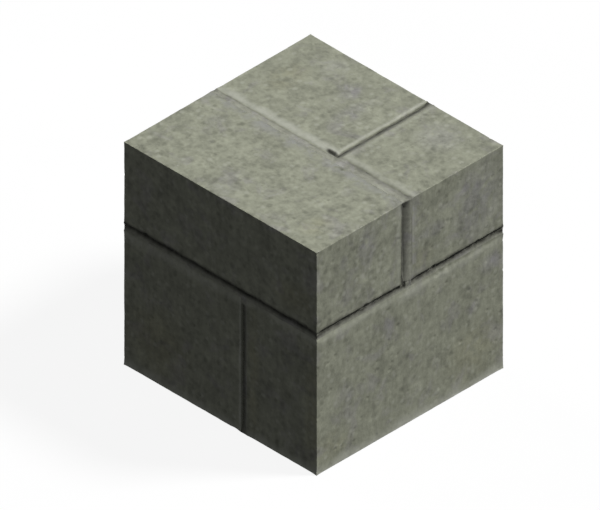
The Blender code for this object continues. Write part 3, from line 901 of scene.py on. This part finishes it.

# Struck joints: the side that each shows on, the axis it runs along, its struck arris, which way
# it slopes out, its depth there, the width of the slope, stops along it as (place, share of the
# depth), and the dirt and painted shade in it as (way across, amount). Rest is how it lies beside
# the far block, bow is how hollow the slope is, and a name with End holds the value at the top of the
# wall
struckJoints = [
    {**bed, "face": "-y", "along": 0, "depth": 0.0044, "rest": -0.0001, "dirtAndShade": shadeDirtAndShade,
     "stops": [(baseLow.x * 0.2, 1), (baseLow.x * 0.1, 0.75), (0.0, 1)]},
    {**bed, "face": "+x", "along": 1, "depth": 0.0044, "rest": 0.0001, "dirtAndShade": sunDirtAndShade,
     "stops": filledBetween(stretcherHigh.y + crossingOpen, backRightLow.y)},
    {**bed, "face": "-x", "along": 1, "depth": 0.0032, "rest": 0.0001, "dirtAndShade": shadeDirtAndShade,
     "stops": filledBetween(stretcherHigh.y, backLeftLow.y - crossingOpen)},
    {**bed, "face": "+y", "along": 0, "depth": 0.0032, "rest": 0.0001, "dirtAndShade": sunDirtAndShade,
     "stops": filledBetween(backLeftHigh.x, backRightLow.x - crossingOpen)},
    {**upper, "face": "+x", "struck": stretcherHigh.y, "toward": 1, "depth": 0.0037,
     "slope": 0.0082, "slopeEnd": 0.0122, "bow": 1.9, "bowEnd": 1.0,
     "dirtAndShade": ((0.0022, 0.50), (0.0030, 0.15), (0.0045, 0.0)),
     "dirtAndShadeEnd": ((0.0030, 0.80), (0.0060, 0.68), (0.0096, 0.35), (0.0112, 0.0)),
     "stops": [(bedTop - 0.0045, 0), (bedTop + 0.0010, 0.50), (bedTop + 0.0150, 0.80),
               (bedTop + 0.0500, 1), (baseHigh.z, 1.1)]},
    {**upper, "face": "-x", "struck": backLeftLow.y, "toward": -1, "depth": 0.0032},
    {**upper, "face": "+y", "struck": backRightLow.x, "toward": -1, "depth": 0.0032},
    {**lower, "face": "-y", "struck": lowerLeftHigh.x, "toward": 1, "depth": 0.0040, "rest": 0.0002,
     "dirtAndShade": ((0.0034, 0.50), (0.0062, 0.46), (0.0100, 0.14))},
    {**lower, "face": "+y", "struck": lowerRightLow.x, "toward": -1, "depth": 0.0032},
    {"face": "+z", "along": 1, "struck": backLeftHigh.x, "toward": 1, "depth": 0.0038, "rest": 0.0002,
     "slope": 0.0080, "stops": [(backRightLow.y - 0.0045, 0), (backRightLow.y - 0.0022, 1)],
     "dirtAndShade": ((0.0030, 0.80), (0.0088, 0.10))},
    {"face": "+z", "along": 0, "struck": backRightLow.y, "toward": -1, "depth": 0.0015, "rest": 0.0002,
     "slope": 0.0060, "stops": [(backRightLow.x + 0.0085, 0), (backRightLow.x + 0.0125, 1)],
     "dirtAndShade": ((0.0026, 0.40), (0.0082, 0.0))},
    {"face": "+z", "along": 0, "struck": backLeftLow.y, "toward": -1, "depth": 0.0011, "rest": 0.0002,
     "slope": 0.0030, "stops": [(backLeftHigh.x - 0.0170, 1), (backLeftHigh.x - 0.0060, 0.4)],
     "dirtAndShade": ((0.0016, 0.18), (0.0058, 0.0))},
]

# Lattice of the mortar, its roughness, and how its slopes bow, waver and fade out at the corners
mortarShape = {
    "step": 0.0013,
    "crossStep": 0.00075,
    "crossWidth": 0.020,
    "seam": 0.00002,
    "foot": 0.0012,
    "bow": 1.3,
    "uneven": 0.16,
    "unevenGrain": 0.017,
    "seed": 70.5,
    "lapBehind": 0.0004,
    "lapAhead": 0.0012,
    "dirtAndShadeGain": 1.5,
    "grain": 0.00010,
    "grainSize": 0.0031,
    "swell": 0.00022,
    "swellSize": 0.0140,
    "calm": 0.0020,
    "cornerBlend": 0.0150,
    "endFade": 0.0100,
    "endShare": 0.04,
}


def shoulderDepth(face, points):
    # how deep the worn shoulders of the lower blocks lie beside the mortar of one side
    axis = axisOf(face)
    along = 1 - axis
    places, tops, reaches = [], [], []
    for block in (lowerLeftBlock, lowerRightStretcher):
        arris = ("+z", face)
        if arris in block["worn"]:
            low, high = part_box(block["node"])
            rows = blockRows(low[along], high[along])
            reach = wornReach(block, list(block["worn"]).index(arris), arris, rows)
            places.extend(rows)
            tops.extend(reach["+z"])
            reaches.extend(reach[face])
    top = np.interp(points[:, along], places, tops)
    reach = np.interp(points[:, along], places, reaches)
    share = np.clip(1 - (bedBottom - points[:, 2]) / reach, 0, 1)
    return top * share ** wearShape["innerCurve"]


def mortarRows(breaks):
    rows = []
    for start, stop in zip(breaks, breaks[1:]):
        narrow = stop - start < mortarShape["crossWidth"]
        rows.append(evenRows(start, stop, mortarShape["crossStep" if narrow else "step"]))
    return np.unique(np.concatenate(rows).round(7))


def jointShape(face, points):
    # depth of the mortar below one side of the base, and the dirt and painted shade that lie on it
    axis = axisOf(face)
    level = np.zeros(len(points))
    if face != "+z":
        level = np.where(points[:, 2] < bedTop, shoulderDepth(face, points), 0)
    filled = level * np.interp(points[:, 2], (bedBottom, bedTop), (1, 0))
    depth = filled.copy()
    dirtAndShade = np.zeros(len(points))
    for number, joint in enumerate(struckJoints):
        if joint["face"] != face:
            continue
        across = 3 - axis - joint["along"]
        along = points[:, joint["along"]]
        away = (points[:, across] - joint["struck"]) * joint["toward"]
        places, shares = zip(*joint["stops"])
        share = np.interp(along, places, shares)
        uneven = noiseAlong(along, mortarShape["unevenGrain"], mortarShape["seed"] + number, 0)
        end = np.minimum(along - baseLow[joint["along"]], baseHigh[joint["along"]] - along)
        fuller = np.interp(end, (0, mortarShape["endFade"]), (mortarShape["endShare"], 1))
        strike = joint["depth"] * share * fuller * (1 + mortarShape["uneven"] * uneven)
        rise = np.interp(along, (bedTop, baseHigh.z), (0, 1))
        slope = joint["slope"] + (joint.get("slopeEnd", joint["slope"]) - joint["slope"]) * rise
        bow = joint.get("bow", mortarShape["bow"])
        bow = bow + (joint.get("bowEnd", bow) - bow) * rise ** 3
        fall = np.clip((slope - away) / (slope - mortarShape["foot"]), 0, 1) ** bow
        rest = filled + (level - filled) * share + joint["rest"]
        inside = (away > -mortarShape["lapBehind"]) & (away < slope + mortarShape["lapAhead"])
        depth = np.where(inside, np.maximum(depth, rest + np.maximum(strike - rest, 0) * fall), depth)
        stainAndShade = np.interp(away, *zip(*joint["dirtAndShade"]))
        stainAndShade += (np.interp(away, *zip(*joint.get("dirtAndShadeEnd", joint["dirtAndShade"]))) - stainAndShade) * rise ** 3
        stainAndShade *= np.clip(share * mortarShape["dirtAndShadeGain"], 0, 1)
        dirtAndShade = np.where(inside, np.maximum(dirtAndShade, stainAndShade), dirtAndShade)
    return depth, dirtAndShade


def blockGap(points):
    # distance from each point to the nearest block
    gaps = []
    for low, high in blockBoxes:
        outside = np.maximum(0, np.maximum(np.array(low) - points, points - np.array(high)))
        gaps.append(np.linalg.norm(outside, axis=1))
    return np.min(gaps, axis=0)


def buildMortar(name):
    seam = mortarShape["seam"]
    low, high = baseLow, baseHigh
    left, right = low.x, high.x
    front, back = low.y, high.y
    bottom, top = 0.0, high.z
    bedLow, bedHigh = bedBottom + seam, bedTop - seam
    collarFront = stretcherHigh.y + seam
    collarLeft, collarRight = backLeftLow.y - seam, backRightLow.y - seam
    upperLeft, upperRight = backLeftHigh.x + seam, backRightLow.x - seam
    lowerLeft, lowerRight = lowerLeftHigh.x + seam, lowerRightLow.x - seam
    rows = [
        mortarRows(sorted({left, lowerLeft, lowerRight, upperLeft, upperRight, right})),
        mortarRows([front, collarFront, collarLeft, collarRight, back]),
        mortarRows([bottom, bedLow, bedHigh, top]),
    ]
    wholeX, wholeY = (left, right), (front, back)
    lowerX, upperX = (lowerLeft, lowerRight), (upperLeft, upperRight)
    lowerZ, bedZ, upperZ = (bottom, bedLow), (bedLow, bedHigh), (bedHigh, top)
    # a patch is its axis, its level, its two spans in turn after the axis, and which way it looks
    shown = [
        (1, front, bedZ, wholeX, -1),
        (1, front, lowerZ, lowerX, -1),
        (1, back, bedZ, wholeX, 1),
        (1, back, lowerZ, lowerX, 1),
        (1, back, upperZ, upperX, 1),
        (0, left, wholeY, bedZ, -1),
        (0, left, (collarFront, collarLeft), upperZ, -1),
        (0, right, wholeY, bedZ, 1),
        (0, right, (collarFront, collarRight), upperZ, 1),
        (2, top, (left, upperLeft), (collarFront, collarLeft), 1),
        (2, top, upperX, (collarFront, back), 1),
        (2, top, (upperRight, right), (collarFront, collarRight), 1),
    ]
    plain = [
        (2, bottom, lowerX, wholeY, -1),
        (2, bedLow, (left, lowerLeft), wholeY, -1),
        (2, bedLow, (lowerRight, right), wholeY, -1),
        (0, lowerLeft, wholeY, lowerZ, -1),
        (0, lowerRight, wholeY, lowerZ, 1),
        (2, bedHigh, wholeX, (front, collarFront), 1),
        (2, bedHigh, (left, upperLeft), (collarLeft, back), 1),
        (2, bedHigh, (upperRight, right), (collarRight, back), 1),
        (1, collarFront, upperZ, wholeX, -1),
        (1, collarLeft, upperZ, (left, upperLeft), 1),
        (0, upperLeft, (collarLeft, back), upperZ, -1),
        (1, collarRight, upperZ, (upperRight, right), 1),
        (0, upperRight, (collarRight, back), upperZ, 1),
    ]
    points, places, quads, hidden = latticeSkin(rows, shown, plain)
    grimeAndShade = np.zeros(len(points))
    moved = np.zeros_like(points)
    swell = np.array([noise.noise(Vector(p) / mortarShape["swellSize"]) for p in points])
    grain = np.array([noise.noise(Vector(p) / mortarShape["grainSize"]) for p in points])
    rough = mortarShape["swell"] * (1 + swell) + mortarShape["grain"] * (1 + grain)
    rough *= np.clip(blockGap(points) / mortarShape["calm"], 0, 1)
    for face, level in (("-x", left), ("+x", right), ("-y", front), ("+y", back), ("+z", top)):
        axis = axisOf(face)
        away = np.abs(points[:, axis] - level)
        near = away < mortarShape["cornerBlend"]
        spots = points[near].copy()
        spots[:, axis] = level
        depth, dirtAndShade = jointShape(face, spots)
        depth += rough[near]
        inward = depth * (1 - away[near] / mortarShape["cornerBlend"])
        moved[near, axis] += inward if face[0] == "-" else -inward
        grimeAndShade[near] = np.maximum(grimeAndShade[near], np.where(away[near] < nearZero, dirtAndShade, 0))
    values = {label: np.zeros(len(points)) for label in masks}
    values["grimeAndShade"] = grimeAndShade
    piece = skinObject(name, points + moved, quads, hidden, values)
    print(name, "skinned:", len(quads), "quads")
    return piece


mortarLook = {
    "stone": (0.338, 0.343, 0.279),
    "patch": (0.338, 0.331, 0.317),
    "patchAmount": 0.7,
    "mottle": 1.0,
    "blotch": 0.4,
    "grain": 0.5,
    "streak": 0.0,
    "pores": 0.25,
    "crumbs": 0.20,
    "pitShade": 0.0,
    "roughness": 0.92,
    "shift": (0.21, 0.77, 0.44),
}

mortar = buildMortar("jointMortar")
mortar.data.materials.append(finishMaterial("struckMortar", {**stoneLook, **mortarLook}))
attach(mortar, "root")
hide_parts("mortar")


# Floor, light and camera
studio = {
    "sunToward": (0.477, 0.477, 0.840),
    "sunStrength": 2.99,
    "sunSpread": 12.0,
    "fillToward": (-1.0, 0.0, 0.45),
    "fillStrength": 0.35,
    "ambient": 0.0947,
    "ambientTone": (0.980, 0.993, 1.040),
    "floorHalf": 6.0,
    "floorDrop": 0.0002,
    "floorTone": 0.10,
    "floorGlow": 0.90,
}


def makeFloor():
    half = studio["floorHalf"]
    mesh = bpy.data.meshes.new("floor")
    corners = [(-half, -half), (half, -half), (half, half), (-half, half)]
    mesh.from_pydata([(x, y, -studio["floorDrop"]) for x, y in corners], [], [(0, 1, 2, 3)])
    floor = bpy.data.objects.new("floor", mesh)
    bpy.context.scene.collection.objects.link(floor)
    material = bpy.data.materials.new("paleFloor")
    material.use_nodes = True
    tree = material.node_tree
    shader = tree.nodes["Principled BSDF"]
    spot = addNode(tree, "ShaderNodeTexCoord").outputs["Object"]
    cloud = remap(tree, noiseField(tree, spot, "floorCloud"), 0.3, 0.7, 0.995, 1.0)
    tone = addNode(tree, "ShaderNodeCombineColor")
    wire(tree, tone, {0: cloud, 1: cloud, 2: cloud})
    dim = mixColour(tree, "MULTIPLY", 1.0, tone.outputs[0], (studio["floorTone"],) * 3 + (1,))
    wire(tree, shader, {"Base Color": dim, "Roughness": 1.0, "Emission Color": tone.outputs[0],
                        "Emission Strength": studio["floorGlow"]})
    mesh.materials.append(material)
    floor.visible_diffuse = False
    floor.visible_glossy = False


def makeSun(name, toward, strength, spread):
    light = bpy.data.lights.new(name, "SUN")
    light.energy = strength
    light.angle = math.radians(spread)
    lamp = bpy.data.objects.new(name, light)
    lamp.rotation_mode = "QUATERNION"
    lamp.rotation_quaternion = Vector(toward).to_track_quat("Z", "Y")
    bpy.context.scene.collection.objects.link(lamp)


def makeWorld():
    world = bpy.data.worlds.new("softRoom")
    world.use_nodes = True
    wire(world.node_tree, world.node_tree.nodes["Background"],
         {"Color": (*studio["ambientTone"], 1), "Strength": studio["ambient"]})
    bpy.context.scene.world = world


# The view looks down on the corner of the front and the right side, all three sides equally turned
cameraSetup = {
    "frameWidth": 0.6700,
    "pixelsAcross": 600,
    "pixelsRight": 13.6,
    "pixelsUp": 0.2,
    "distance": 2.0,
}


def makeCamera():
    pixel = cameraSetup["frameWidth"] / cameraSetup["pixelsAcross"]
    away = Vector((1, -1, 1)).normalized()
    right = Vector((1, 1, 0)).normalized()
    up = away.cross(right)
    middle = (baseLow + baseHigh) / 2
    aim = middle - right * pixel * cameraSetup["pixelsRight"] - up * pixel * cameraSetup["pixelsUp"]
    data = bpy.data.cameras.new("camera")
    data.type = "ORTHO"
    data.ortho_scale = cameraSetup["frameWidth"]
    data.clip_end = 20
    camera = bpy.data.objects.new("camera", data)
    camera.location = aim + away * cameraSetup["distance"]
    camera.rotation_mode = "QUATERNION"
    camera.rotation_quaternion = away.to_track_quat("Z", "Y")
    bpy.context.scene.collection.objects.link(camera)
    bpy.context.scene.camera = camera


makeFloor()
makeSun("sun", studio["sunToward"], studio["sunStrength"], studio["sunSpread"])
makeSun("fill", studio["fillToward"], studio["fillStrength"], studio["sunSpread"])
makeWorld()
makeCamera()
bpy.context.scene.view_settings.view_transform = "Standard"
print("floor, light and camera set")
